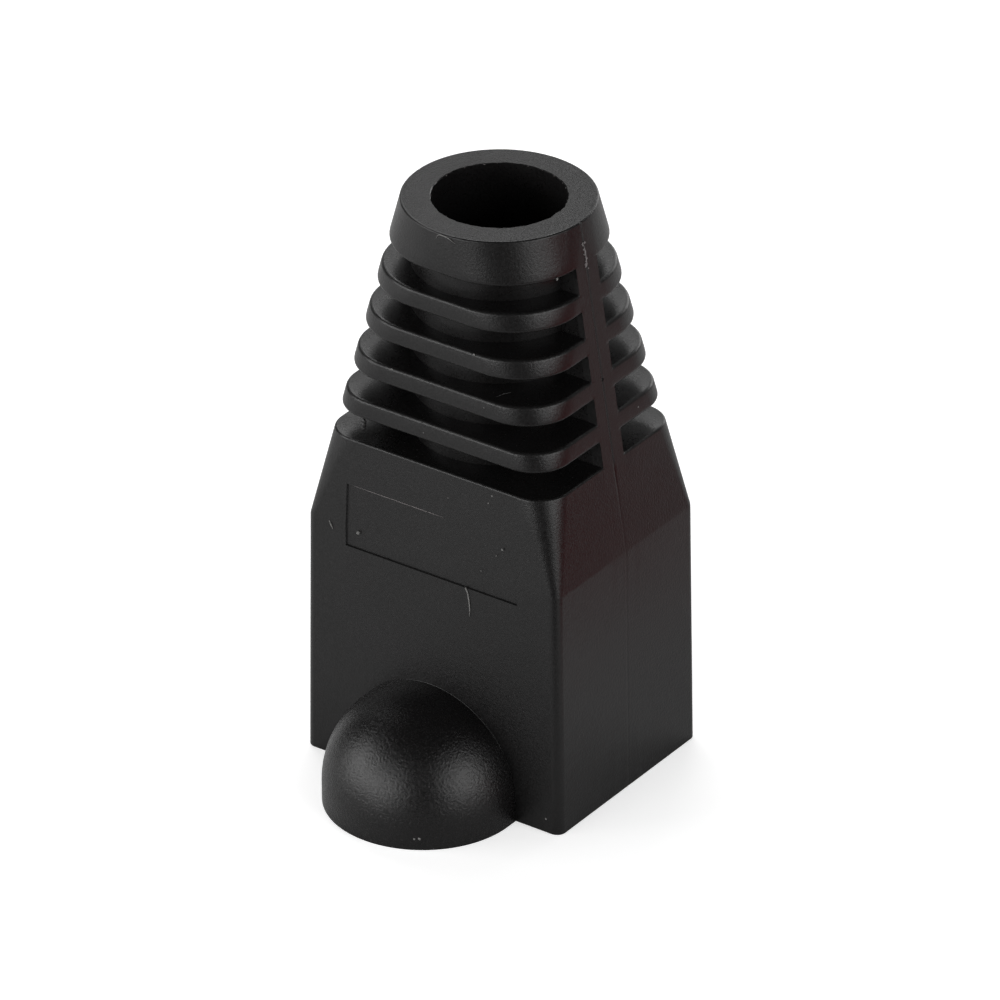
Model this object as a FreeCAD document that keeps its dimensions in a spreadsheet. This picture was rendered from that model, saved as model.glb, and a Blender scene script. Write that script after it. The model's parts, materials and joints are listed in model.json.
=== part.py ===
# Strain relief boot for a modular plug and its round cable, moulded in one piece of soft plastic.
# Millimetres, +Z up. It stands on its plug end: the cable's axis is the Z axis and z = 0 is the foot.
# The bulge that shields the plug's latch is on the -Y face.
import FreeCAD, Part
import math
import os
import Sketcher
from FreeCAD import Placement, Rotation, Vector

doc = FreeCAD.newDocument("plug_boot")
sheet = doc.addObject("Spreadsheet::Sheet", "Sizes")

SIZES = [
    # outside
    ("height", 27.7, "foot to the rim round the cable"),
    ("foot_width", 13.9, "width of the plug end at the foot"),
    ("foot_depth", 10.7, "depth of the plug end at the foot"),
    ("shoulder_height", 12.0, "where the straight part ends and the taper starts"),
    ("shoulder_width", 13.55, "width at the shoulder"),
    ("shoulder_depth", 10.6, "depth at the shoulder"),
    ("corner_radius", 0.45, "upright corners of the straight part"),
    ("rim_diameter", 8.66, "outside of the round rim"),
    ("rim_flat", 0.04, "what is left of each flat side at the round rim"),
    # flexible neck
    ("first_slot", 16.38, "height of the lowest slot"),
    ("slot_height", 1.12, "opening between two ribs"),
    ("slot_pitch", 2.05, "from one slot to the next"),
    ("slot_count", 5, "slots, one above the other"),
    ("core_diameter", 7.8, "tube inside the slots, round the cable"),
    ("bar_width", 1.55, "upright bars at the two sides that carry the ribs"),
    # inside
    ("cable_diameter", 6.0, "round bore that holds the cable"),
    ("plug_width", 11.7, "the plug's body, across"),
    ("plug_depth", 8.3, "the plug's body, from its latch face to its contact face"),
    ("plug_clearance", 0.05, "round the plug on every side"),
    ("plug_corner", 0.4, "corner radius of the plug socket"),
    ("plug_insertion", 10.5, "how far the plug's end goes in"),
    ("lead_in_diameter", 8.2, "wide end of the cone that leads into the bore"),
    ("lead_in_height", 3.6, "height of that cone"),
    # shield over the plug's latch
    ("latch_radius", 4.55, "outside radius of the bulge"),
    ("latch_straight", 0.95, "upright wall under its round top"),
    ("latch_stand", 0.6, "from the foot's front to the centre of the bulge"),
    ("latch_wall", 1.0, "wall of the bulge"),
]
for row, (name, size, meaning) in enumerate(SIZES, start=1):
    sheet.set(f"A{row}", name)
    sheet.set(f"B{row}", str(size))
    sheet.set(f"C{row}", meaning)
    sheet.setAlias(f"B{row}", name)
doc.recompute()

body = doc.addObject("PartDesign::Body", "Boot")
body.Label = "boot"
body.Placement = Placement(Vector(0, 0, 0), Rotation())


def origin_part(role):
    """One of the body's own planes or axes."""
    return next(part for part in body.Origin.OriginFeatures if part.Role == role)


def value(expression):
    """What an expression over the sheet comes to now."""
    return float(body.evalExpression(expression))


# curves and rules of a sketch

def new_sketch(name, plane, offset=None):
    """A sketch on an origin plane, moved along the plane's normal."""
    sketch = body.newObject("Sketcher::SketchObject", name)
    sketch.AttachmentSupport = (origin_part(plane), [""])
    sketch.MapMode = "FlatFace"
    if offset:
        sketch.setExpression("AttachmentOffset.Base.z", offset)
    return sketch


def line(sketch, x0, y0, x1, y1):
    return sketch.addGeometry(Part.LineSegment(Vector(x0, y0, 0), Vector(x1, y1, 0)), False)


def arc(sketch, x, y, radius, start, end):
    """A counterclockwise arc about (x, y) between two angles in degrees."""
    circle = Part.Circle(Vector(x, y, 0), Vector(0, 0, 1), radius)
    return sketch.addGeometry(Part.ArcOfCircle(circle, math.radians(start), math.radians(end)), False)


def rule(sketch, *definition):
    return sketch.addConstraint(Sketcher.Constraint(*definition))


def dimension(sketch, name, expression, kind, *where):
    """A named dimension that follows the sheet."""
    index = rule(sketch, kind, *where, value(expression))
    sketch.renameConstraint(index, name)
    sketch.setExpression(f"Constraints.{name}", expression)


def join(sketch, kind, *chain):
    """Join each curve's end to the next one's start."""
    for now, after in zip(chain, chain[1:]):
        rule(sketch, kind, now, 2, after, 1)


# outlines

def rounded_rectangle(sketch, width, depth, radius):
    """Four sides and four quarter arcs about the origin."""
    a, b, r = value(width) / 2, value(depth) / 2, value(radius)
    right = line(sketch, a, r - b, a, b - r)
    back_right = arc(sketch, a - r, b - r, r, 0, 90)
    back = line(sketch, a - r, b, r - a, b)
    back_left = arc(sketch, r - a, b - r, r, 90, 180)
    left = line(sketch, -a, b - r, -a, r - b)
    front_left = arc(sketch, r - a, r - b, r, 180, 270)
    front = line(sketch, r - a, -b, a - r, -b)
    front_right = arc(sketch, a - r, r - b, r, 270, 360)
    join(sketch, "Tangent", right, back_right, back, back_left, left, front_left, front, front_right, right)
    for side in right, left:
        rule(sketch, "Vertical", side)
    for side in back, front:
        rule(sketch, "Horizontal", side)
    for corner in back_left, front_left, front_right:
        rule(sketch, "Equal", back_right, corner)
    rule(sketch, "Symmetric", right, 1, left, 1, -1, 1)
    dimension(sketch, "Width", width, "DistanceX", left, 1, right, 1)
    dimension(sketch, "Depth", depth, "DistanceY", front, 1, back, 1)
    dimension(sketch, "Corner", radius, "Radius", back_right)


def circle_outline(sketch, radius):
    """A circle about the origin."""
    index = sketch.addGeometry(Part.Circle(Vector(0, 0, 0), Vector(0, 0, 1), value(radius)), False)
    rule(sketch, "Coincident", index, 3, -1, 1)
    dimension(sketch, "Radius", radius, "Radius", index)


def arch(sketch, radius, straight):
    """An upright doorway: two straight sides and a half circle over them."""
    r, h = value(radius), value(straight)
    sill = line(sketch, -r, 0, r, 0)
    right = line(sketch, r, 0, r, h)
    top = arc(sketch, 0, h, r, 0, 180)
    left = line(sketch, -r, h, -r, 0)
    join(sketch, "Coincident", left, sill, right)
    join(sketch, "Tangent", right, top, left)
    for side in right, left:
        rule(sketch, "Vertical", side)
    rule(sketch, "Symmetric", sill, 1, sill, 2, -1, 1)
    rule(sketch, "Horizontal", sill)
    dimension(sketch, "Radius", radius, "Radius", top)
    dimension(sketch, "Straight", straight, "DistanceY", right, 1, right, 2)


def half_arch(sketch, radius, straight):
    """The right half of that doorway, closed along the upright axis."""
    r, h = value(radius), value(straight)
    sill = line(sketch, 0, 0, r, 0)
    right = line(sketch, r, 0, r, h)
    top = arc(sketch, 0, h, r, 0, 90)
    axis = line(sketch, 0, h + r, 0, 0)
    join(sketch, "Coincident", sill, right)
    join(sketch, "Tangent", right, top)
    join(sketch, "Coincident", top, axis, sill)
    rule(sketch, "Vertical", right)
    rule(sketch, "Vertical", axis)
    rule(sketch, "Horizontal", sill)
    rule(sketch, "Coincident", sill, 1, -1, 1)
    rule(sketch, "PointOnObject", top, 3, -2)
    dimension(sketch, "Radius", radius, "Radius", top)
    dimension(sketch, "Straight", straight, "DistanceY", right, 1, right, 2)


def lead_in(sketch, low, high, low_radius, high_radius):
    """Half the section of a cone between two heights, closed along the axis."""
    z0, z1, r0, r1 = value(low), value(high), value(low_radius), value(high_radius)
    base = line(sketch, 0, z0, r0, z0)
    slope = line(sketch, r0, z0, r1, z1)
    top = line(sketch, r1, z1, 0, z1)
    axis = line(sketch, 0, z1, 0, z0)
    join(sketch, "Coincident", base, slope, top, axis, base)
    rule(sketch, "Horizontal", base)
    rule(sketch, "Horizontal", top)
    rule(sketch, "PointOnObject", axis, 1, -2)
    rule(sketch, "PointOnObject", axis, 2, -2)
    dimension(sketch, "Low", low, "DistanceY", -1, 1, base, 1)
    dimension(sketch, "High", high, "DistanceY", -1, 1, top, 1)
    dimension(sketch, "LowRadius", low_radius, "DistanceX", base, 1, base, 2)
    dimension(sketch, "HighRadius", high_radius, "DistanceX", top, 2, top, 1)


def slot_half(sketch, side, reach, core_radius, half_bar):
    """What a slot takes away on one side of the two bars: all between the core and the outside."""
    far, r, b = value(reach), value(core_radius), value(half_bar)
    x = math.sqrt(r * r - b * b)
    turn = math.degrees(math.asin(b / r))
    middle = 90 * side
    core = arc(sketch, 0, 0, r, middle - 90 + turn, middle + 90 - turn)
    to_core = line(sketch, side * far, side * b, side * x, side * b)
    from_core = line(sketch, -side * x, side * b, -side * far, side * b)
    end = line(sketch, -side * far, side * b, -side * far, side * far)
    outside = line(sketch, -side * far, side * far, side * far, side * far)
    start = line(sketch, side * far, side * far, side * far, side * b)
    join(sketch, "Coincident", to_core, core, from_core, end, outside, start, to_core)
    for level in to_core, from_core, outside:
        rule(sketch, "Horizontal", level)
    for upright in end, start:
        rule(sketch, "Vertical", upright)
    rule(sketch, "Coincident", core, 3, -1, 1)
    rule(sketch, "Symmetric", end, 1, start, 2, -2)
    across = (to_core, 1, from_core, 2) if side < 0 else (from_core, 2, to_core, 1)
    bar_gap = (from_core, 1, -1, 1) if side < 0 else (-1, 1, from_core, 1)
    out_gap = (outside, 1, -1, 1) if side < 0 else (-1, 1, outside, 1)
    label = "Front" if side < 0 else "Back"
    dimension(sketch, f"{label}Core", core_radius, "Radius", core)
    dimension(sketch, f"{label}Bar", half_bar, "DistanceY", *bar_gap)
    dimension(sketch, f"{label}Width", f"2 * {reach}", "DistanceX", *across)
    dimension(sketch, f"{label}Reach", reach, "DistanceY", *out_gap)


# features

def loft(name, low, high):
    """Straight walls from one outline to the next."""
    feature = body.newObject("PartDesign::AdditiveLoft", name)
    feature.Profile = (low, [""])
    feature.Sections = [(high, [""])]
    feature.Ruled = True
    return feature


def extrude(name, kind, sketch, length, turned):
    """A pad or pocket of a sketch, turned round where it has to go the other way."""
    feature = body.newObject(f"PartDesign::{kind}", name)
    feature.Profile = (sketch, [""])
    feature.setExpression("Length", length)
    feature.Reversed = turned
    return feature


def revolve(name, kind, sketch):
    """A full turn about the sketch's upright axis."""
    feature = body.newObject(f"PartDesign::{kind}", name)
    feature.Profile = (sketch, [""])
    feature.ReferenceAxis = (sketch, ["V_Axis"])
    feature.Angle = 360
    return feature


# outer shape: a block with slightly drafted walls, and a neck that turns from oblong to round
foot = new_sketch("FootOutline", "XY_Plane")
rounded_rectangle(foot, "Sizes.foot_width", "Sizes.foot_depth", "Sizes.corner_radius")
shoulder = new_sketch("ShoulderOutline", "XY_Plane", "Sizes.shoulder_height")
rounded_rectangle(shoulder, "Sizes.shoulder_width", "Sizes.shoulder_depth", "Sizes.corner_radius")
rim = new_sketch("RimOutline", "XY_Plane", "Sizes.height")
rounded_rectangle(rim, "Sizes.rim_diameter", "Sizes.rim_diameter", "(Sizes.rim_diameter - Sizes.rim_flat) / 2")
loft("Block", foot, shoulder)
loft("Neck", shoulder, rim)

# shield over the latch: an arch that grows out of the front wall and ends in half a dome
stand = "Sizes.foot_depth / 2 + Sizes.latch_stand"
front_wall = "(Sizes.foot_depth - Sizes.plug_depth) / 2 - Sizes.plug_clearance"
shield_arch = new_sketch("ShieldArch", "XZ_Plane", stand)
arch(shield_arch, "Sizes.latch_radius", "Sizes.latch_straight")
extrude("ShieldNeck", "Pad", shield_arch, f"Sizes.latch_stand + ({front_wall}) / 2", True)
shield_half = new_sketch("ShieldHalf", "XZ_Plane", stand)
half_arch(shield_half, "Sizes.latch_radius", "Sizes.latch_straight")
revolve("ShieldDome", "Revolution", shield_half)
doc.recompute()
volumes = [("solid", body.Shape.Volume)]

# slots: each leaves the core round the cable and a bar at either side
slot = new_sketch("SlotOutline", "XY_Plane", "Sizes.first_slot")
for side in -1, 1:
    slot_half(slot, side, "Sizes.shoulder_width", "Sizes.core_diameter / 2", "Sizes.bar_width / 2")
slot_cut = extrude("Slot", "Pocket", slot, "Sizes.slot_height", True)
slots = body.newObject("PartDesign::LinearPattern", "Slots")
slots.Originals = [slot_cut]
slots.Direction = (origin_part("Z_Axis"), [""])
slots.Mode = "Spacing"
slots.setExpression("Offset", "Sizes.slot_pitch")
slots.setExpression("Occurrences", "Sizes.slot_count")
body.Tip = slots
doc.recompute()
volumes.append(("slots", body.Shape.Volume))

# inside: the plug's socket, a cone that leads into the bore, and the bore for the cable
play = "2 * Sizes.plug_clearance"
socket = new_sketch("SocketOutline", "XY_Plane")
rounded_rectangle(socket, f"Sizes.plug_width + {play}", f"Sizes.plug_depth + {play}", "Sizes.plug_corner")
extrude("Socket", "Pocket", socket, "Sizes.plug_insertion", True)
doc.recompute()
volumes.append(("socket", body.Shape.Volume))
funnel = new_sketch("LeadInOutline", "XZ_Plane")
lead_in(funnel, "Sizes.plug_insertion", "Sizes.plug_insertion + Sizes.lead_in_height",
        "Sizes.lead_in_diameter / 2", "Sizes.cable_diameter / 2")
revolve("LeadIn", "Groove", funnel)
cable = new_sketch("CableOutline", "XY_Plane")
circle_outline(cable, "Sizes.cable_diameter / 2")
extrude("CableBore", "Pocket", cable, "Sizes.height", True)
doc.recompute()
volumes.append(("bore", body.Shape.Volume))

# room for the latch: the same arch and dome, one wall smaller, open to the socket and at the foot
room = "Sizes.latch_radius - Sizes.latch_wall"
room_arch = new_sketch("RoomArch", "XZ_Plane", stand)
arch(room_arch, room, "Sizes.latch_straight")
extrude("RoomNeck", "Pocket", room_arch, stand, False)
room_half = new_sketch("RoomHalf", "XZ_Plane", stand)
half_arch(room_half, room, "Sizes.latch_straight")
revolve("RoomDome", "Groove", room_half)
doc.recompute()
volumes.append(("latch room", body.Shape.Volume))

print("volumes in cubic millimetres:", [(name, round(volume, 1)) for name, volume in volumes])
for (before, larger), (after, smaller) in zip(volumes, volumes[1:]):
    if smaller >= larger:
        raise RuntimeError(f"{after} took nothing away from {before}")
for item in doc.Objects:
    if "Invalid" in item.State or "Error" in item.State:
        raise RuntimeError(f"{item.Name} failed: {item.State}")
if body.Shape.isNull() or not body.Shape.isValid() or len(body.Shape.Solids) != 1:
    raise RuntimeError("the boot is not one valid solid")

os.makedirs("parts", exist_ok=True)
body.Shape.exportStep(f"parts/{body.Label}.step")
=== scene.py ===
# Looks of a black plug boot, standing on its foot on a pale floor.
# Metres, +Z up. The cable's axis is the Z axis, and the latch shield is on the -Y face.
import json
import math
import random

import bmesh
import bpy
import numpy as np
from mathutils import Matrix, Vector


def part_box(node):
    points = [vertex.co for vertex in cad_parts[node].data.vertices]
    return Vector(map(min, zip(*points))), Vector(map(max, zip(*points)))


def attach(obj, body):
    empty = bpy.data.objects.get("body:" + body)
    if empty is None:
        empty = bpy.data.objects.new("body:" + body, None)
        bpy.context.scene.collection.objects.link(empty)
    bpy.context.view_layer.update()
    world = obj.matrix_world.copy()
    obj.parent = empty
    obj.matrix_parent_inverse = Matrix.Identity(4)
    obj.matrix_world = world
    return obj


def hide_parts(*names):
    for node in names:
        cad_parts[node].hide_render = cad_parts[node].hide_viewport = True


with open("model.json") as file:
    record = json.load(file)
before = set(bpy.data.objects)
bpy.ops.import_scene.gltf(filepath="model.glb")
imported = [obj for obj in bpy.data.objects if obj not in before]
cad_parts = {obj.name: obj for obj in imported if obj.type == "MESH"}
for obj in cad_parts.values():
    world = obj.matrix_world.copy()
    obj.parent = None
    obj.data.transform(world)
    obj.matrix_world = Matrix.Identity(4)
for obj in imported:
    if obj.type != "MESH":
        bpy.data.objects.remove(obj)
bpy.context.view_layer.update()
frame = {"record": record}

MM = 0.001

# sizes that the frame gives
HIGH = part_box("boot")[1]
HEIGHT = HIGH.z
FOOT = (HIGH.x, HIGH.y)
MOUNTS = {mount["name"]: mount for mount in frame["record"]["mounts"]}
BORE = MOUNTS["cable_bore"]["dims"]["r_mm"] * MM
BORE_BOTTOM = HEIGHT - MOUNTS["cable_bore"]["dims"]["length_mm"] * MM

# outside: half sizes and corner radii of the sections between which the walls run straight
SHOULDER_HEIGHT = 12.0 * MM
SHOULDER = (6.775 * MM, 5.3 * MM)
CORNER = 0.45 * MM
RIM = 4.33 * MM
RIM_FLAT = 0.04 * MM

# slots in the neck
FIRST_SLOT = 16.38 * MM
SLOT_HEIGHT = 1.12 * MM
SLOT_PITCH = 2.05 * MM
SLOT_COUNT = 5
CORE = 3.9 * MM
HALF_BAR = 0.775 * MM

# inside
SOCKET = (5.9 * MM, 4.2 * MM)
SOCKET_CORNER = 0.4 * MM
SOCKET_DEPTH = 10.5 * MM
LEAD_IN = 4.1 * MM

# latch shield
SHIELD_RADIUS = 4.55 * MM
SHIELD_STRAIGHT = 0.95 * MM
SHIELD_STAND = 0.6 * MM
SHIELD_WALL = 1.0 * MM

# roundings of the edges
BODY_TOP_ROUND = 0.1 * MM
RIB_TOP_ROUND = 0.14 * MM
RIB_BOTTOM_ROUND = 0.22 * MM
FOOT_ROUND = 0.06 * MM
RIM_ROUND = 0.08 * MM
ROUND_STEPS = 6
CREASE = 0.06 * MM

# bare sunk panel on the front
PANEL_HALF_WIDTH = 4.6 * MM
PANEL_BOTTOM = 11.1 * MM
PANEL_TOP = 14.1 * MM
PANEL_DEPTH = 0.08 * MM
PANEL_FLARE = 0.04 * MM

# parting line of the mould, down the middle of both narrow sides, shallow below and deeper on the bars
SEAM_WIDTH = 0.12 * MM
SEAM_DEPTH_BELOW = 0.006 * MM
SEAM_DEPTH_ABOVE = 0.04 * MM
SEAM_NICK_HEIGHT = 20.25 * MM
SEAM_NICK_RADIUS = 0.09 * MM

# ragged edge of the hole in the rim
RAGGED = 0.008 * MM
NICK_TURN = math.radians(1)
NICK_WIDTH = math.radians(4)
NICK_DEPTH = 0.05 * MM

# how finely a quarter of each section is divided, and the straight walls between the sections
BAR_STEPS = 4
WALL_STEPS = 4
SIDE_STEPS = 5
CORNER_STEPS = 16
FRONT_STEPS = 12
BLOCK_RINGS = 4
SHOULDER_RINGS = 3

# near the rim the corner fills the quarter: its points start this far past the bar, and end at this direction
LEAST_TURN = math.radians(1)
LAST_CORNER_TURN = math.radians(87)

# how finely the shield is divided
SHIELD_PROFILE_STEPS = 32
SHIELD_TURN_STEPS = 64

# points nearer than this are one, edges sharper than this show as edges, and this keeps divisors from zero
MERGE = 1e-7
SHARP = math.radians(28)
TINY = 1e-9


def mix(a, b, t):
    return a + (b - a) * t


def direction(azimuth, elevation):
    """Unit vector from the object; azimuth 0 is the front, and it grows towards +X."""
    a, e = math.radians(azimuth), math.radians(elevation)
    return Vector((math.sin(a) * math.cos(e), -math.cos(a) * math.cos(e), math.sin(e)))


# sections of the boot

def outside(z):
    """Half width, half depth and corner radius of the outside at a height."""
    if z <= SHOULDER_HEIGHT:
        t = z / SHOULDER_HEIGHT
        return mix(FOOT[0], SHOULDER[0], t), mix(FOOT[1], SHOULDER[1], t), CORNER
    t = (z - SHOULDER_HEIGHT) / (HEIGHT - SHOULDER_HEIGHT)
    return mix(SHOULDER[0], RIM, t), mix(SHOULDER[1], RIM, t), mix(CORNER, RIM - RIM_FLAT / 2, t)


def reach(turn, a, b, r):
    """How far a rounded rectangle reaches from the axis in each direction of its first quarter."""
    c, s = np.cos(turn), np.sin(turn)
    cx, cy = a - r, b - r
    along = cx * c + cy * s
    across = cx * s - cy * c
    arc = along + np.sqrt(np.maximum(r * r - across * across, 0))
    side = a / np.maximum(c, TINY)
    front = b / np.maximum(s, TINY)
    return np.where(side * s <= cy, side, np.where(front * c <= cx, front, arc))


def columns(a, b, r):
    """Directions of a ring's points in the first quarter, from the middle of the bar to that of the front."""
    y = np.concatenate([[0, SEAM_WIDTH / 2], np.linspace(SEAM_WIDTH, HALF_BAR, BAR_STEPS)])
    over = np.maximum(y - (b - r), 0)
    x = a - r + np.sqrt(np.maximum(r * r - over * over, 0))
    bar = np.arctan2(y, x)
    core_x = math.sqrt(CORE ** 2 - HALF_BAR ** 2)
    wall = np.arctan2(HALF_BAR, np.linspace(x[-1], core_x, WALL_STEPS + 1)[1:])
    start = wall[-1]
    first = max(math.atan2(b - r, a), start + LEAST_TURN)
    second = min(math.atan2(b, a - r), LAST_CORNER_TURN)
    side = np.linspace(start, first, SIDE_STEPS + 1)[1:]
    corner = np.linspace(first, second, CORNER_STEPS + 1)[1:]
    front = np.arctan2(b, np.linspace(b / math.tan(second), 0, FRONT_STEPS + 1)[1:])
    return np.concatenate([bar, wall, side, corner, front])


def whole_ring(body, turn, z):
    """The four quarters of a ring, from its reach in the first one."""
    x, y = body * np.cos(turn), body * np.sin(turn)
    quarters = [(x, y), (-x[-2::-1], y[-2::-1]), (-x[1:], -y[1:]), (x[-2:0:-1], -y[-2:0:-1])]
    return [Vector((px, py, z)) for qx, qy in quarters for px, py in zip(qx, qy)]


def outer_ring(z, inset=0.0, slotted=False):
    """The outside at a height with its edge drawn in, or the core and bars that a slot leaves of it."""
    a, b, r = outside(z)
    turn = columns(a, b, r)
    if slotted:
        body = np.full_like(turn, CORE)
    else:
        body = reach(turn, a - inset, b - inset, r - inset)
    on_bars = z > FIRST_SLOT - BODY_TOP_ROUND - MERGE
    if on_bars and z < HEIGHT - RIM_ROUND - MERGE:
        bar = np.minimum(reach(turn, a, b, r), HALF_BAR / np.maximum(np.sin(turn), TINY))
        body = np.maximum(body, bar)
    body[0] -= SEAM_DEPTH_ABOVE if on_bars else SEAM_DEPTH_BELOW
    return whole_ring(body, turn, z)


def socket_ring(z, grow=0.0):
    """The socket's oblong section."""
    a, b, r = SOCKET[0] + grow, SOCKET[1] + grow, SOCKET_CORNER + grow
    turn = columns(a, b, r)
    return whole_ring(reach(turn, a, b, r), turn, z)


def round_ring(z, radius, ragged=0.0):
    """A round section with as many points as the others, uneven where it is the trimmed edge of the hole."""
    count = len(columns(*outside(z)))
    turn = np.linspace(0, math.pi / 2, count)
    points = whole_ring(np.full(count, radius), turn, z)
    for point in points:
        t = math.atan2(point.y, point.x)
        uneven = math.sin(7 * t + 1) + math.sin(17 * t + 4) + math.sin(31 * t) + math.sin(47 * t + 2)
        nick = NICK_DEPTH * math.exp(-((t - NICK_TURN) / NICK_WIDTH) ** 2)
        scale = 1 + ragged * (RAGGED * uneven - nick) / radius
        point.x *= scale
        point.y *= scale
    return points


def edge_down(z, radius):
    """Rings over a rounded edge, from the upright face up to the level one at height z."""
    for step in range(ROUND_STEPS + 1):
        t = math.pi / 2 * step / ROUND_STEPS
        yield outer_ring(z - radius * (1 - math.sin(t)), radius * (1 - math.cos(t)))


def edge_up(z, radius):
    """Rings over a rounded edge, from the level face at height z up to the upright one."""
    for step in range(ROUND_STEPS, -1, -1):
        t = math.pi / 2 * step / ROUND_STEPS
        yield outer_ring(z + radius * (1 - math.sin(t)), radius * (1 - math.cos(t)))


def neck_rings():
    """Up the neck: along the core in each slot, and over the edges of each rib."""
    for slot in range(SLOT_COUNT):
        floor = FIRST_SLOT + slot * SLOT_PITCH
        ceiling = floor + SLOT_HEIGHT
        yield from edge_down(floor, RIB_TOP_ROUND if slot else BODY_TOP_ROUND)
        for z in floor, mix(floor, ceiling, 0.5), ceiling:
            yield outer_ring(z, slotted=True)
        yield from edge_up(ceiling, RIB_BOTTOM_ROUND)
        middle = mix(ceiling + RIB_BOTTOM_ROUND, floor + SLOT_PITCH - RIB_TOP_ROUND, 0.5)
        yield outer_ring(middle)


def inner_rings():
    """Over the lip of the trimmed hole, down the bore, out along the cone and down the socket."""
    lip = 0.4 * RIM_ROUND
    yield round_ring(HEIGHT, BORE + 4 * lip)
    yield round_ring(HEIGHT, BORE + lip, ragged=1.0)
    yield round_ring(HEIGHT - lip, BORE, ragged=1.0)
    for z in HEIGHT - 6 * lip, mix(HEIGHT, BORE_BOTTOM, 0.5), BORE_BOTTOM:
        yield round_ring(z, BORE)
    yield round_ring(SOCKET_DEPTH, LEAD_IN)
    for z in SOCKET_DEPTH, SOCKET_DEPTH / 2, FOOT_ROUND:
        yield socket_ring(z)
    yield socket_ring(0, FOOT_ROUND)


def boot_rings():
    """All rings in order: up the outside from the foot, over the rim and down the inside."""
    block = np.linspace(FOOT_ROUND, SHOULDER_HEIGHT - CREASE, BLOCK_RINGS + 1)[1:]
    shoulder = np.linspace(SHOULDER_HEIGHT + CREASE, FIRST_SLOT - BODY_TOP_ROUND, SHOULDER_RINGS + 1)[:-1]
    return [
        *edge_up(0, FOOT_ROUND),
        *[outer_ring(z) for z in [*block, *shoulder]],
        *neck_rings(),
        *edge_down(HEIGHT, RIM_ROUND),
        *inner_rings(),
    ]


def on_skin(turn, z):
    """The point of the outside in any direction from the axis."""
    a, b, r = outside(z)
    folded = math.atan2(abs(math.sin(turn)), abs(math.cos(turn)))
    far = float(reach(folded, a, b, r))
    return Vector((far * math.cos(turn), far * math.sin(turn), z))


def skin_normal(turn, z):
    """The outward direction of the outside at a point."""
    step = 1e-4
    around = on_skin(turn + step, z) - on_skin(turn - step, z)
    upward = on_skin(turn, z + step * MM) - on_skin(turn, z - step * MM)
    return around.cross(upward).normalized()


def on_front(x, z):
    """The point of the front wall at a distance from the middle, and its outward direction."""
    turn = math.atan2(-outside(z)[1], x)
    return on_skin(turn, z), skin_normal(turn, z)


# meshes

def object_from(bm, name):
    """A new object with this mesh, in the scene."""
    bmesh.ops.remove_doubles(bm, verts=bm.verts, dist=MERGE)
    bmesh.ops.recalc_face_normals(bm, faces=bm.faces)
    mesh = bpy.data.meshes.new(name)
    bm.to_mesh(mesh)
    bm.free()
    thing = bpy.data.objects.new(name, mesh)
    bpy.context.scene.collection.objects.link(thing)
    return thing


def grid(bm, rows, closed_rows=True, closed_columns=True):
    """Four-sided faces between rows of points."""
    verts = [[bm.verts.new(point) for point in row] for row in rows]
    row_pairs = list(zip(verts, verts[1:] + verts[:1])) if closed_rows else list(zip(verts, verts[1:]))
    for low, high in row_pairs:
        count = len(low) if closed_columns else len(low) - 1
        for i in range(count):
            j = (i + 1) % len(low)
            bm.faces.new((low[i], low[j], high[j], high[i]))
    return verts


def shield(radius, inner_y, bottom, name):
    """An arch that runs out from inside the wall and ends in half a dome."""
    centre_y = -FOOT[1] - SHIELD_STAND
    rise = np.linspace(0, math.pi / 2, SHIELD_PROFILE_STEPS + 1)
    arc = [(radius * math.cos(t), SHIELD_STRAIGHT + radius * math.sin(t)) for t in rise]
    profile = [(0, bottom), (radius, bottom), *arc]
    rows = [[Vector((rho, inner_y, z)) for rho, z in profile]]
    for turn in np.linspace(0, math.pi, SHIELD_TURN_STEPS + 1):
        c, s = math.cos(turn), -math.sin(turn)
        rows.append([Vector((rho * c, centre_y + rho * s, z)) for rho, z in profile])
    rows.append([Vector((-rho, inner_y, z)) for rho, z in profile])
    bm = bmesh.new()
    verts = grid(bm, rows, closed_rows=False, closed_columns=False)
    bm.faces.new(verts[0] + verts[-1][::-1])
    return object_from(bm, name)


def panel_form():
    """What is cut away for the sunk panel: it follows the wall over the shoulder, and its sides flare."""
    out = 0.5 * MM
    rows = []
    for z, end in (PANEL_BOTTOM, -1), (SHOULDER_HEIGHT, 0), (PANEL_TOP, 1):
        wall = -outside(z)[1]
        row = []
        for side, depth in ((-1, -out), (1, -out), (1, PANEL_DEPTH), (-1, PANEL_DEPTH)):
            flare = PANEL_FLARE * (1 - depth / PANEL_DEPTH)
            row.append(Vector((side * (PANEL_HALF_WIDTH + flare), wall + depth, z + end * flare)))
        rows.append(row)
    bm = bmesh.new()
    verts = grid(bm, rows, closed_rows=False)
    bm.faces.new(verts[0])
    bm.faces.new(verts[-1])
    return object_from(bm, "panel_form")


def nick_form():
    """A small pit in the parting line of the bar."""
    bm = bmesh.new()
    bmesh.ops.create_icosphere(bm, subdivisions=2, radius=SEAM_NICK_RADIUS)
    bmesh.ops.translate(bm, verts=bm.verts, vec=on_skin(0, SEAM_NICK_HEIGHT))
    return object_from(bm, "nick_form")


def combine(thing, tool, operation):
    """Join or cut a mesh with another, which is used up."""
    modifier = thing.modifiers.new("combine", "BOOLEAN")
    modifier.operation = operation
    modifier.solver = "EXACT"
    modifier.object = tool
    evaluated = thing.evaluated_get(bpy.context.evaluated_depsgraph_get())
    mesh = bpy.data.meshes.new_from_object(evaluated)
    thing.modifiers.clear()
    thing.data = mesh
    bpy.data.objects.remove(tool)


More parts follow.
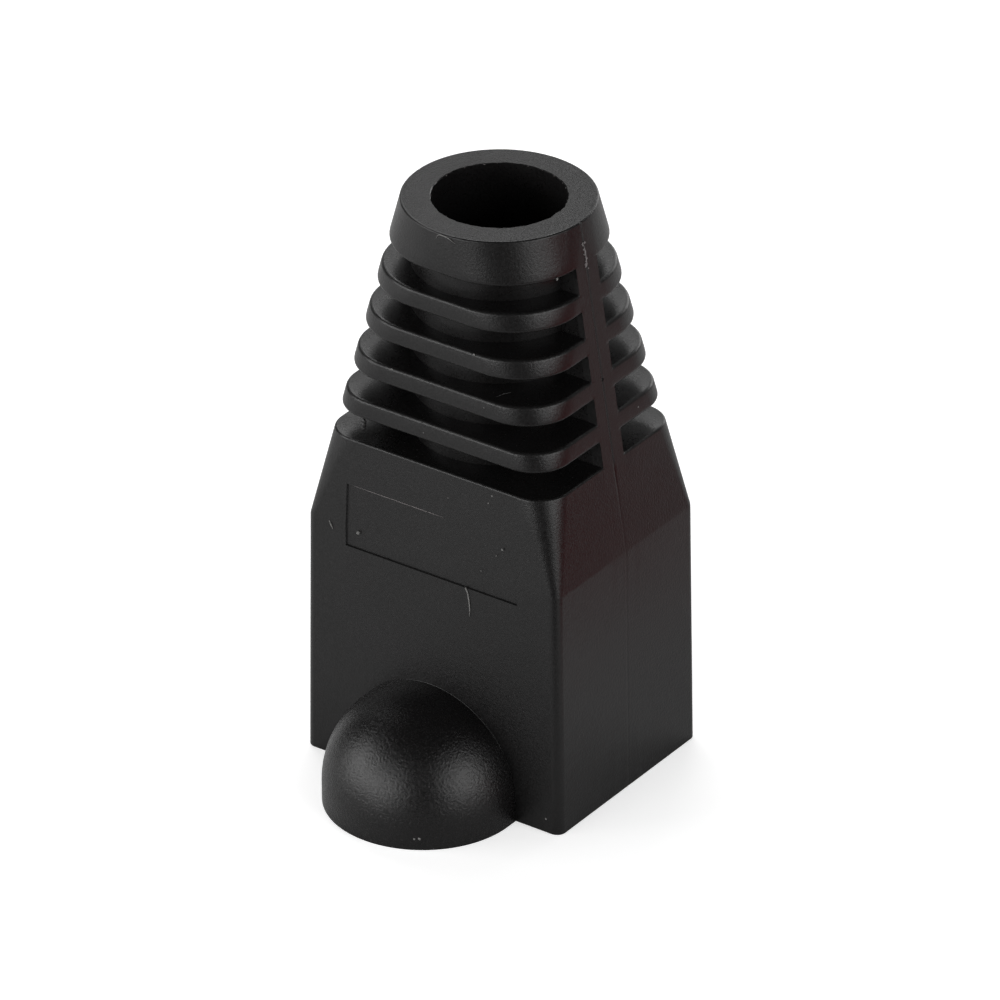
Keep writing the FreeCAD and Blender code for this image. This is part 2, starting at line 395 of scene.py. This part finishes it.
# finishes of the faces, and what each is made with
SKIN, INNER, TRIMMED, BULGE = range(4)
FINISHES = [
    # name, roughness, depth of the grain, shine, depth of the scratches
    ("fine_black_plastic", (0.32, 0.42), 0.013 * MM, 0.3, 0),
    ("smooth_black_plastic", (0.26, 0.34), 0.004 * MM, 0.26, 0),
    ("trimmed_black_plastic", (0.34, 0.44), 0.04 * MM, 0.2, 0.01 * MM),
    ("grained_black_plastic", (0.22, 0.30), 0.030 * MM, 0.3, 0),
]

# how deep under the outside a face counts as inner wall
INNER_DEPTH = 0.3 * MM


def finish_of(face):
    """Which finish a face has: fine skin, smoother inner wall, trimmed rim, or the bulge's coarser grain."""
    centre = face.calc_center_median()
    if centre.z > HEIGHT - MERGE:
        return TRIMMED
    if centre.y < -FOOT[1] - MERGE:
        return BULGE
    skin = on_skin(math.atan2(centre.y, centre.x), centre.z)
    depth = math.hypot(skin.x, skin.y) - math.hypot(centre.x, centre.y)
    return INNER if depth > INNER_DEPTH else SKIN


def finish_mesh(thing):
    """Smooth shading with sharp edges where faces meet at an angle, and a finish for each face."""
    bm = bmesh.new()
    bm.from_mesh(thing.data)
    bmesh.ops.dissolve_degenerate(bm, edges=bm.edges, dist=MERGE)
    for face in bm.faces:
        face.smooth = True
        face.material_index = finish_of(face)
    for edge in bm.edges:
        edge.smooth = len(edge.link_faces) == 2 and edge.calc_face_angle(0) < SHARP
    bm.to_mesh(thing.data)
    bm.free()
    weighted = thing.modifiers.new("weighted", "WEIGHTED_NORMAL")
    weighted.keep_sharp = True
    weighted.weight = 50


def make_boot():
    """The whole moulding."""
    bm = bmesh.new()
    grid(bm, boot_rings())
    boot = object_from(bm, "boot_body")
    wall_middle = -mix(SOCKET[1], FOOT[1], 0.5)
    combine(boot, shield(SHIELD_RADIUS, wall_middle, 0, "shield_form"), "UNION")
    combine(boot, shield(SHIELD_RADIUS - SHIELD_WALL, 0, -MM, "room_form"), "DIFFERENCE")
    combine(boot, panel_form(), "DIFFERENCE")
    combine(boot, nick_form(), "DIFFERENCE")
    boot.data.materials.clear()
    for name, rough, grain_depth, shine, scratched in FINISHES:
        boot.data.materials.append(soft_plastic(name, rough, grain_depth, shine, scratched))
    finish_mesh(boot)
    return boot


# small marks: flash left by the mould, hairs and dust, and a pale strand that paints a highlight on the
# panel's top edge

# share of a strand's thickness that its ends keep, a grain's height over its width, and how uneven it is
BLUNT = 0.15
GRAIN_HEIGHT = 0.6
GRAIN_UNEVEN = 0.2


def smooth_path(points, steps=6):
    """A smooth line through a few points."""
    ends = [points[0] * 2 - points[1], *points, points[-1] * 2 - points[-2]]
    line = []
    for p, q, r, s in zip(ends, ends[1:], ends[2:], ends[3:]):
        for t in np.arange(steps) / steps:
            line.append(0.5 * (2 * q + (r - p) * t + (2 * p - 5 * q + 4 * r - s) * t * t
                               + (3 * q - p - 3 * r + s) * t ** 3))
    return line + [points[-1]]


def strand(bm, points, normal, radius, taper, sides=8):
    """A closed tube along a smooth line, which thins out over the given shares of its two ends."""
    line = smooth_path(points)
    rows = []
    for i, point in enumerate(line):
        along = (line[min(i + 1, len(line) - 1)] - line[max(i - 1, 0)]).normalized()
        side = along.cross(normal).normalized()
        up = side.cross(along)
        t = i / (len(line) - 1)
        thin = min(1, BLUNT + t / taper[0], BLUNT + (1 - t) / taper[1])
        turns = np.arange(sides) * 2 * math.pi / sides
        rows.append([point + radius * thin * (side * math.cos(a) + up * math.sin(a)) for a in turns])
    verts = grid(bm, rows, closed_rows=False)
    bm.faces.new(verts[0])
    bm.faces.new(verts[-1])


def grain(bm, place, normal, size, stretch, rng):
    """An uneven grain that sits flat on a surface."""
    turn = normal.to_track_quat("Z", "Y").to_matrix().to_4x4()
    spin = Matrix.Rotation(rng.uniform(0, math.pi), 4, "Z")
    shape = Matrix.Diagonal((size * stretch, size, size * GRAIN_HEIGHT, 1))
    made = bmesh.ops.create_icosphere(bm, subdivisions=2, radius=1.0,
                                      matrix=Matrix.Translation(place) @ turn @ spin @ shape)
    for vert in made["verts"]:
        vert.co += (vert.co - place) * rng.uniform(-GRAIN_UNEVEN, GRAIN_UNEVEN)


def mark(bm, name, material):
    """An object of small marks, which rides on the boot."""
    thing = object_from(bm, name)
    for face in thing.data.polygons:
        face.use_smooth = True
    thing.data.materials.append(material)
    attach(thing, "root")


# places in mm: distance from the middle and height on the front wall, with a size
FRONT_DUST = [(-3.95, 11.91, 0.085), (3.79, 13.57, 0.050), (2.96, 15.6, 0.035), (3.15, 16.0, 0.042),
              (0.82, 15.17, 0.022), (3.48, 13.17, 0.028), (2.71, 12.19, 0.024), (6.2, 0.71, 0.050)]
# degrees about the axis and height in mm, with a size
SKIN_DUST = [(20.9, 17.98, 0.045), (-23.3, 25.76, 0.055), (-67.4, 22.48, 0.045), (-116.5, 20.44, 0.040),
             (-62.0, 20.1, 0.020), (-97.0, 17.9, 0.020)]
# degrees from the front and height in mm on the shield
SHIELD_DUST = [(30.3, 0.57, 0.045), (33.2, 0.58, 0.060)]
# a hair and a bit of lint on the front wall, in mm like the dust there
FRONT_HAIR = [(1.86, 11.12), (1.99, 10.89), (2.07, 10.5), (2.12, 10.0), (2.09, 9.67)]
FRONT_LINT = [(-5.53, 12.06), (-5.42, 11.88), (-5.32, 11.66)]
# round the skin, in degrees and mm: a hair under the rim, and flash on the parting line
RIM_HAIR = [(-93.5, 27.40), (-91.5, 27.62), (-88.5, 27.64), (-85.0, 27.60), (-80.5, 27.42)]
SEAM_FLASH = [(-0.3, 26.62), (-0.1, 26.4), (0.1, 26.1), (0.3, 25.8), (0.4, 25.62)]
# the shred in its slot, x and y in mm
SLOT_SHRED = [(2.82, -4.25), (2.88, -4.0), (2.92, -3.86), (3.13, -3.49)]

# thickness of hairs and flash, and of the strand that paints the panel's highlight
HAIR = 0.033 * MM
RIM_HAIR_THICKNESS = 0.7 * HAIR
SEAM_FLASH_THICKNESS = 0.035 * MM
PAINTED_HIGHLIGHT_THICKNESS = 0.014 * MM
ROOT_THICKNESS = 0.035 * MM
SHRED_THICKNESS = 0.03 * MM

# stretches of the painted highlight along the panel's top edge, in mm, and of the flash along the shield's
# root, in degrees
PAINTED_HIGHLIGHT_SPAN = (-4.3, 0.6)
ROOT_TURNS = (30, 108)

# how many bits are torn at the edge of the hole
HOLE_BITS = 22

# a crumb of plastic under the lowest rib: direction in degrees, then height from the rib and size in mm
CRUMB_TURN = -128.2
CRUMB = [(0.1, 0.12), (-0.08, 0.14), (-0.25, 0.10)]


def make_dust(material):
    """Specks of dust on the front, round the skin and on the shield."""
    rng = random.Random(7)
    bm = bmesh.new()
    for x, z, size in FRONT_DUST:
        place, normal = on_front(x * MM, z * MM)
        grain(bm, place, normal, size * MM, rng.uniform(1.0, 1.5), rng)
    for turn, z, size in SKIN_DUST:
        turn = math.radians(turn)
        grain(bm, on_skin(turn, z * MM), skin_normal(turn, z * MM), size * MM, rng.uniform(1.0, 1.6), rng)
    centre = Vector((0, -FOOT[1] - SHIELD_STAND, 0))
    for turn, z, size in SHIELD_DUST:
        rise = max(z * MM - SHIELD_STRAIGHT, 0) / SHIELD_RADIUS
        level = direction(turn, 0) * math.sqrt(1 - rise * rise)
        normal = Vector((level.x, level.y, rise))
        place = centre + normal * SHIELD_RADIUS
        place.z = z * MM
        grain(bm, place, normal, size * MM, 1.3, rng)
    mark(bm, "dust", material)


def make_hairs(material):
    """A hair and a bit of lint on the front, and a hair that lies under the rim."""
    bm = bmesh.new()
    for points, taper in ((FRONT_HAIR, (0.1, 0.5)), (FRONT_LINT, (0.3, 0.4))):
        placed = [on_front(x * MM, z * MM) for x, z in points]
        strand(bm, [place + normal * HAIR * 0.7 for place, normal in placed], placed[0][1], HAIR, taper)
    rim = []
    for turn, z in RIM_HAIR:
        turn = math.radians(turn)
        rim.append((on_skin(turn, z * MM), skin_normal(turn, z * MM)))
    strand(bm, [place + normal * HAIR for place, normal in rim], rim[0][1], RIM_HAIR_THICKNESS, (0.4, 0.3))
    mark(bm, "hairs", material)


def seam_flash(bm, rng):
    """A scuffed bit of flash on the parting line under the rim."""
    points = [on_skin(math.radians(turn), z * MM) for turn, z in SEAM_FLASH]
    strand(bm, points, Vector((1, 0, 0)), SEAM_FLASH_THICKNESS, (0.3, 0.4))
    for turn, z in SEAM_FLASH * 3:
        turn = math.radians(turn + rng.uniform(-1.3, 1.3))
        z = (z + rng.uniform(-0.15, 0.15)) * MM
        grain(bm, on_skin(turn, z), skin_normal(turn, z), rng.uniform(0.03, 0.06) * MM, 1.5, rng)


def panel_painted_highlight(bm):
    """A painted highlight of the panel's rounded top edge: a pale strand along it."""
    edge = PANEL_TOP + PANEL_FLARE
    places, normals = zip(*[on_front(x * MM, edge) for x in np.linspace(*PAINTED_HIGHLIGHT_SPAN, 8)])
    strand(bm, places, normals[0], PAINTED_HIGHLIGHT_THICKNESS, (0.3, 0.2))


def hole_bits(bm, rng):
    """Bits torn at the edge of the trimmed hole."""
    for step in range(HOLE_BITS):
        turn = 2 * math.pi * (step + rng.random()) / HOLE_BITS
        size = rng.uniform(0.015, 0.03) * MM
        place = Vector((BORE * math.cos(turn), BORE * math.sin(turn), HEIGHT - 1.5 * size))
        grain(bm, place, Vector((0, 0, 1)), size, rng.uniform(1.0, 2.0), rng)


def shield_root(bm):
    """A fine line of flash where the shield meets the wall."""
    front = -outside(SHIELD_STRAIGHT + SHIELD_RADIUS)[1]
    proud = 0.01 * MM
    root = []
    for t in np.linspace(*np.radians(ROOT_TURNS), 20):
        z = SHIELD_STRAIGHT + SHIELD_RADIUS * math.sin(t)
        wall = mix(front, -outside(z)[1], 0.5)
        root.append(Vector((SHIELD_RADIUS * math.cos(t), wall - proud, z)))
    strand(bm, root, Vector((0, -1, 0)), ROOT_THICKNESS, (0.3, 0.3))


def crumb(bm, rng):
    """A crumb of plastic that hangs at the lower edge of the lowest rib."""
    turn = math.radians(CRUMB_TURN)
    rib_bottom = FIRST_SLOT + SLOT_HEIGHT
    for rise, size in CRUMB:
        z = rib_bottom + rise * MM
        grain(bm, on_skin(turn, z) * 0.99, skin_normal(turn, z), size * MM, 1.2, rng)


def slot_shred(bm):
    """A shred that lies in the third slot."""
    ledge = FIRST_SLOT + 2 * SLOT_PITCH
    points = [Vector((x * MM, y * MM, ledge)) for x, y in SLOT_SHRED]
    strand(bm, points, Vector((0, 0, 1)), SHRED_THICKNESS, (0.3, 0.3))


def make_flash(scuffed_and_highlight, plastic):
    """Remains of plastic, the scuffed ones paler than the rest, and a pale strand that paints the highlight
    on the panel's top edge.
    """
    rng = random.Random(3)
    bm = bmesh.new()
    seam_flash(bm, rng)
    # a pale strand that paints a highlight on the panel's top edge
    panel_painted_highlight(bm)
    hole_bits(bm, rng)
    mark(bm, "scuffed_flash_and_painted_highlight", scuffed_and_highlight)

    bm = bmesh.new()
    shield_root(bm)
    crumb(bm, rng)
    slot_shred(bm)
    mark(bm, "mould_flash", plastic)


# materials

BLACK = (0.0023, 0.0022, 0.0022, 1)
GREYER_BLACK = (0.0079, 0.0074, 0.0075, 1)
PALE_DUST = (0.07, 0.07, 0.068, 1), (0.19, 0.185, 0.18, 1)
# pale scuffed plastic, also the colour of the painted highlight on the panel's top edge
SCUFF_AND_HIGHLIGHT_COLOURS = (0.06, 0.055, 0.055, 1), (0.22, 0.20, 0.20, 1)
SWELL_DEPTH = 0.004 * MM


def soft_plastic(name, rough, grain_depth, shine, scratched):
    """Matt black soft plastic with a moulded grain, and with trimming scratches where they have a depth."""
    material = bpy.data.materials.new(name)
    material.use_nodes = True
    tree = material.node_tree
    shader = tree.nodes["Principled BSDF"]
    shader.inputs["Specular IOR Level"].default_value = shine
    cloudy = noise(tree, 350)
    fine = noise(tree, 9500, 3.0, 0.6)
    swell = noise(tree, 900, 2.0, 0.5)
    rubbed = noise(tree, 2500, 5.0, 0.7, ((0.5, 0.3, 0.9), (1.0, 0.06, 1.0)))
    speckled = mapped(tree, fine, 0.3, 0.7, 0.0, 0.5)
    share = math_node(tree, "ADD", math_node(tree, "MULTIPLY", cloudy, 0.5), speckled)
    colour = mixed(tree, share, BLACK, GREYER_BLACK)
    tree.links.new(colour, shader.inputs["Base Color"])
    base = mapped(tree, fine, 0.3, 0.7, *rough)
    wear = mapped(tree, rubbed, 0.55, 0.75, 0.0, -0.05)
    tree.links.new(math_node(tree, "ADD", base, wear), shader.inputs["Roughness"])
    normal = bumped(tree, swell, SWELL_DEPTH)
    normal = bumped(tree, fine, grain_depth, normal)
    if scratched:
        lines = noise(tree, 9000, 3.0, 0.6, ((0, 0, 0.6), (1.0, 0.05, 1.0)))
        normal = bumped(tree, lines, scratched, normal)
    tree.links.new(normal, shader.inputs["Normal"])
    return material


def plain_matt(name, low, high):
    """Dust, hair, or scuffed plastic that also paints a highlight: a rough surface of uneven colour."""
    material = bpy.data.materials.new(name)
    material.use_nodes = True
    tree = material.node_tree
    shader = tree.nodes["Principled BSDF"]
    shader.inputs["Roughness"].default_value = 0.8
    shader.inputs["Specular IOR Level"].default_value = 0.3
    uneven = noise(tree, 12000, 2.0, 0.5)
    tree.links.new(mixed(tree, uneven, low, high), shader.inputs["Base Color"])
    tree.links.new(bumped(tree, uneven, 0.01 * MM), shader.inputs["Normal"])
    return material


# shader nodes: each function returns the new node's output, and noise scales are per metre

def noise(tree, scale, detail=4.0, roughness=0.6, stretch=None):
    node = tree.nodes.new("ShaderNodeTexNoise")
    node.inputs["Scale"].default_value = scale
    node.inputs["Detail"].default_value = detail
    node.inputs["Roughness"].default_value = roughness
    place = tree.nodes.new("ShaderNodeTexCoord").outputs["Object"]
    if stretch:
        mapping = tree.nodes.new("ShaderNodeMapping")
        mapping.inputs["Rotation"].default_value, mapping.inputs["Scale"].default_value = stretch
        tree.links.new(place, mapping.inputs["Vector"])
        place = mapping.outputs["Vector"]
    tree.links.new(place, node.inputs["Vector"])
    return node.outputs["Fac"]


def mapped(tree, value, from_low, from_high, low, high, interpolation="LINEAR"):
    node = tree.nodes.new("ShaderNodeMapRange")
    node.interpolation_type = interpolation
    for name, number in (("From Min", from_low), ("From Max", from_high), ("To Min", low), ("To Max", high)):
        node.inputs[name].default_value = number
    tree.links.new(value, node.inputs["Value"])
    return node.outputs["Result"]


def feed(tree, sockets, values):
    """Give each socket a constant or another node's output."""
    for socket, value in zip(sockets, values):
        if isinstance(value, bpy.types.NodeSocket):
            tree.links.new(value, socket)
        else:
            socket.default_value = value


def mixed(tree, share, first, second):
    node = tree.nodes.new("ShaderNodeMix")
    node.data_type = "RGBA"
    feed(tree, [socket for socket in node.inputs if socket.enabled], (share, first, second))
    return [socket for socket in node.outputs if socket.enabled][0]


def math_node(tree, operation, *values):
    node = tree.nodes.new("ShaderNodeMath")
    node.operation = operation
    feed(tree, node.inputs, values)
    return node.outputs[0]


def vector_node(tree, vector, operation, constant):
    """How a place or direction lies to a fixed one."""
    node = tree.nodes.new("ShaderNodeVectorMath")
    node.operation = operation
    node.inputs[1].default_value = constant
    tree.links.new(vector, node.inputs[0])
    return node.outputs["Value"]


def bumped(tree, height, depth, normal=None):
    node = tree.nodes.new("ShaderNodeBump")
    node.inputs["Strength"].default_value = 1.0
    node.inputs["Distance"].default_value = depth
    tree.links.new(height, node.inputs["Height"])
    if normal:
        tree.links.new(normal, node.inputs["Normal"])
    return node.outputs["Normal"]


# stage: pale floor, studio boxes, camera

FLOOR_SIZE = 3.0
# how strongly the floor glows where it is seen, and where it is mirrored from these distances on, so that a
# painted shade rings the foot in mirrored rays
FLOOR_GLOW = 0.55
FLOOR_MIRRORED_GLOW = 0.03
GLOW_STARTS = (10 * MM, 60 * MM)
# colours of the floor: pale, and the reddish and dim painted shade that mirrored rays see
FLOOR_PALE = (0.8, 0.8, 0.8, 1)
FLOOR_SHADE = (0.50, 0.0, 0.01, 1)
FLOOR_DIM = (0.06, 0.05, 0.05, 1)
# wedges of painted shade on the floor, seen only in mirrored rays: azimuth and spread in degrees, distances
# over which they start
DIM_WEDGE = (38, (9, 30), (18 * MM, 45 * MM))
RED_WEDGE = (112, (21, 28), (20 * MM, 33 * MM))
# the room's light, and how bright its dark side and its backdrop are in mirrored rays
ROOM_LIGHT = 0.05
ROOM_DARK = 0.03
BACKDROP = 0.60
BACKDROP_AZIMUTH = -144.5
BACKDROP_ELEVATION = 25
# cosines of the angle from the backdrop's middle, between which the mirrored room turns bright
BACKDROP_FADE = (0.7, 0.98)


def floor_wedge(tree, place, distance, azimuth, spread, starts):
    """How far a place on the floor lies inside a wedge that opens away from the object."""
    outward = tree.nodes.new("ShaderNodeVectorMath")
    outward.operation = "NORMALIZE"
    tree.links.new(place, outward.inputs[0])
    towards = vector_node(tree, outward.outputs["Vector"], "DOT_PRODUCT", direction(azimuth, 0))
    inner, outer = [math.cos(math.radians(angle)) for angle in spread]
    inside = mapped(tree, towards, outer, inner, 0, 1, "SMOOTHSTEP")
    away = mapped(tree, distance, *starts, 0, 1, "SMOOTHSTEP")
    return math_node(tree, "MULTIPLY", inside, away)


def floor_material():
    """White where it is seen. In mirrored rays it is pale, with painted shade: a dim wedge in front, a
    reddish one, and less glow near the foot.
    """
    material = bpy.data.materials.new("pale_floor")
    material.use_nodes = True
    tree = material.node_tree
    shader = tree.nodes["Principled BSDF"]
    shader.inputs["Roughness"].default_value = 0.9
    shader.inputs["Specular IOR Level"].default_value = 0.0
    shader.inputs["Emission Color"].default_value = (1, 1, 1, 1)
    path = tree.nodes.new("ShaderNodeLightPath").outputs

    place = tree.nodes.new("ShaderNodeTexCoord").outputs["Object"]
    distance = vector_node(tree, place, "DISTANCE", (0, 0, 0))
    # painted shade in mirrored rays: a dim wedge and a reddish one
    dim = math_node(tree, "MULTIPLY", floor_wedge(tree, place, distance, *DIM_WEDGE), path["Is Glossy Ray"])
    red = math_node(tree, "MULTIPLY", floor_wedge(tree, place, distance, *RED_WEDGE), path["Is Glossy Ray"])
    reddish = mixed(tree, red, FLOOR_PALE, FLOOR_SHADE)
    tree.links.new(mixed(tree, dim, reddish, FLOOR_DIM), shader.inputs["Base Color"])

    seen = math_node(tree, "MAXIMUM", path["Is Camera Ray"], path["Is Transmission Ray"])
    glow = math_node(tree, "MULTIPLY", seen, FLOOR_GLOW)
    spread = mapped(tree, distance, *GLOW_STARTS, 0, FLOOR_MIRRORED_GLOW, "SMOOTHSTEP")
    lit = math_node(tree, "SUBTRACT", path["Is Glossy Ray"], math_node(tree, "MAXIMUM", dim, red))
    mirrored_glow = math_node(tree, "MULTIPLY", lit, spread)
    tree.links.new(math_node(tree, "ADD", glow, mirrored_glow), shader.inputs["Emission Strength"])
    return material


def make_floor():
    mesh = bpy.data.meshes.new("floor")
    half = FLOOR_SIZE / 2
    corners = [(-half, -half, 0), (half, -half, 0), (half, half, 0), (-half, half, 0)]
    mesh.from_pydata(corners, [], [(0, 1, 2, 3)])
    mesh.materials.append(floor_material())
    floor = bpy.data.objects.new("floor", mesh)
    bpy.context.scene.collection.objects.link(floor)


def make_world():
    """White where it is seen. In mirrored rays it is white behind the object and dark on the open side."""
    world = bpy.data.worlds.new("studio")
    world.use_nodes = True
    bpy.context.scene.world = world
    tree = world.node_tree
    background = tree.nodes["Background"]
    background.inputs["Color"].default_value = (1, 1, 1, 1)
    path = tree.nodes.new("ShaderNodeLightPath").outputs
    where = tree.nodes.new("ShaderNodeTexCoord").outputs["Generated"]
    backdrop = direction(BACKDROP_AZIMUTH, BACKDROP_ELEVATION)
    towards_backdrop = vector_node(tree, where, "DOT_PRODUCT", backdrop)
    graded = mapped(tree, towards_backdrop, *BACKDROP_FADE, ROOM_DARK, BACKDROP, "SMOOTHSTEP")
    seen = math_node(tree, "MAXIMUM", path["Is Camera Ray"], path["Is Transmission Ray"])
    mirrored = math_node(tree, "MULTIPLY", graded, path["Is Glossy Ray"])
    unseen = math_node(tree, "SUBTRACT", 1.0, math_node(tree, "MAXIMUM", seen, path["Is Glossy Ray"]))
    light = math_node(tree, "MULTIPLY", unseen, ROOM_LIGHT)
    shown = math_node(tree, "ADD", seen, mirrored)
    tree.links.new(math_node(tree, "ADD", shown, light), background.inputs["Strength"])


LIGHTS = [
    # name, azimuth and elevation in degrees, distance, width and height in metres, watts
    ("left_box", -52, 16, 0.40, 0.23, 0.22, 0.86),
    ("right_box", 84, 18, 0.40, 0.30, 0.24, 1.08),
    ("fill_box", -5, 24, 0.45, 0.22, 0.18, 0.29),
    ("low_strip", -16, 8, 0.45, 0.32, 0.10, 0.84),
    ("back_box", -134, 46, 0.40, 0.26, 0.14, 0.64),
    ("far_box", 180, 15, 0.40, 0.25, 0.15, 0.42),
]


def make_lights():
    """Soft boxes round the object, which all face its middle."""
    middle = Vector((0, 0, HEIGHT / 2))
    for name, azimuth, elevation, distance, width, height, watts in LIGHTS:
        lamp = bpy.data.lights.new(name, "AREA")
        lamp.shape = "RECTANGLE"
        lamp.size, lamp.size_y = width, height
        lamp.energy = watts
        box = bpy.data.objects.new(name, lamp)
        bpy.context.scene.collection.objects.link(box)
        away = direction(azimuth, elevation)
        box.location = middle + away * distance
        box.rotation_euler = (-away).to_track_quat("-Z", "Y").to_euler()


# the camera's place, and where in the picture its aim shows
CAMERA_AZIMUTH = 35.51
CAMERA_ELEVATION = 29.69
CAMERA_ROLL = -0.237
CAMERA_DISTANCE = 449.2 * MM
AIM = Vector((0, 0, 13.5 * MM))
IMAGE_SIDE = 1000
AIM_PIXEL = (500.5, 478.38)
PIXELS_PER_METRE = 22610


def make_camera():
    """A camera that sees AIM at AIM_PIXEL, and turns a little about its axis."""
    data = bpy.data.cameras.new("camera")
    camera = bpy.data.objects.new("camera", data)
    bpy.context.scene.collection.objects.link(camera)
    bpy.context.scene.camera = camera
    roll = math.radians(CAMERA_ROLL)
    back = direction(CAMERA_AZIMUTH, CAMERA_ELEVATION)
    level = Vector((0, 0, 1)).cross(back).normalized()
    upright = back.cross(level)
    right = level * math.cos(roll) + upright * math.sin(roll)
    up = upright * math.cos(roll) - level * math.sin(roll)
    eye = AIM + back * CAMERA_DISTANCE
    off_x = (AIM_PIXEL[0] - IMAGE_SIDE / 2) / PIXELS_PER_METRE
    off_y = (AIM_PIXEL[1] - IMAGE_SIDE / 2) / PIXELS_PER_METRE
    centre = AIM - right * off_x + up * off_y
    back = (eye - centre).normalized()
    right = up.cross(back).normalized()
    up = back.cross(right)
    camera.matrix_world = Matrix.Translation(eye) @ Matrix((right, up, back)).transposed().to_4x4()
    data.sensor_width = 36
    data.lens = PIXELS_PER_METRE * CAMERA_DISTANCE * data.sensor_width / IMAGE_SIDE
    data.clip_start, data.clip_end = 0.01, 10


boot = make_boot()
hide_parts("boot")
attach(boot, "root")
pale = plain_matt("pale_dust", *PALE_DUST)
make_dust(pale)
make_hairs(pale)
# the scuffed plastic also paints the highlight on the panel's top edge
make_flash(plain_matt("scuffed_plastic_and_painted_highlight", *SCUFF_AND_HIGHLIGHT_COLOURS), boot.data.materials[SKIN])

make_floor()
make_world()
make_lights()
make_camera()
bpy.context.scene.view_settings.view_transform = "Standard"
